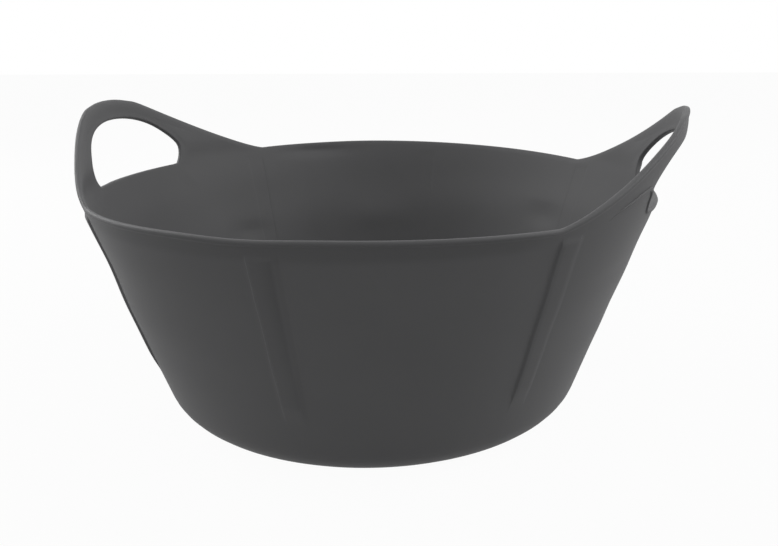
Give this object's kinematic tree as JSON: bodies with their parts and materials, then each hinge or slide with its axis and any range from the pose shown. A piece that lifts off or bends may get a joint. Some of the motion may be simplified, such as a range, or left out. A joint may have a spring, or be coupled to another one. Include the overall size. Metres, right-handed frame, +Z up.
{
  "type": "flexible bucket",
  "caption": "Shallow round flexible plastic tub with flared wall, crowned beaded rim and hoop handles that rise out of the wall and bend inward.",
  "frame": {"origin": "centre of the flat underside, on the floor", "axes": "+Z up through the mouth, +X towards the right handle and -X towards the left handle, -Y towards the side that faces the camera"},
  "size_m": [0.4265, 0.4034, 0.2132],
  "materials": {
    "tub_plastic": "satin, charcoal black moulded polyethylene",
    "right_handle_plastic": "satin, charcoal black moulded polyethylene",
    "left_handle_plastic": "satin, charcoal black moulded polyethylene",
    "flex_plastic": "satin, charcoal black moulded polyethylene"
  },
  "bodies": {
    "tub": {"tub_body": "tub_plastic", "right_front_flex": "flex_plastic", "right_back_flex": "flex_plastic", "left_front_flex": "flex_plastic", "left_back_flex": "flex_plastic"},
    "right_hoop": {"right_handle": "right_handle_plastic"},
    "left_hoop": {"left_handle": "left_handle_plastic"}
  },
  "joints": [
    {"name": "right_handle_fold", "type": "hinge", "parent": "tub", "child": "right_hoop", "pos_m": [0.1887, 0, 0.1796], "axis": [0, -1, 0], "range_deg": [-20, 60], "stiffness_Nm_per_rad": 0.15, "deforming": ["right_front_flex", "right_back_flex"]},
    {"name": "left_handle_fold", "type": "hinge", "parent": "tub", "child": "left_hoop", "pos_m": [-0.18643, 0, 0.1796], "axis": [0, 1, 0], "range_deg": [-20, 60], "stiffness_Nm_per_rad": 0.15, "deforming": ["left_front_flex", "left_back_flex"]}
  ]
}
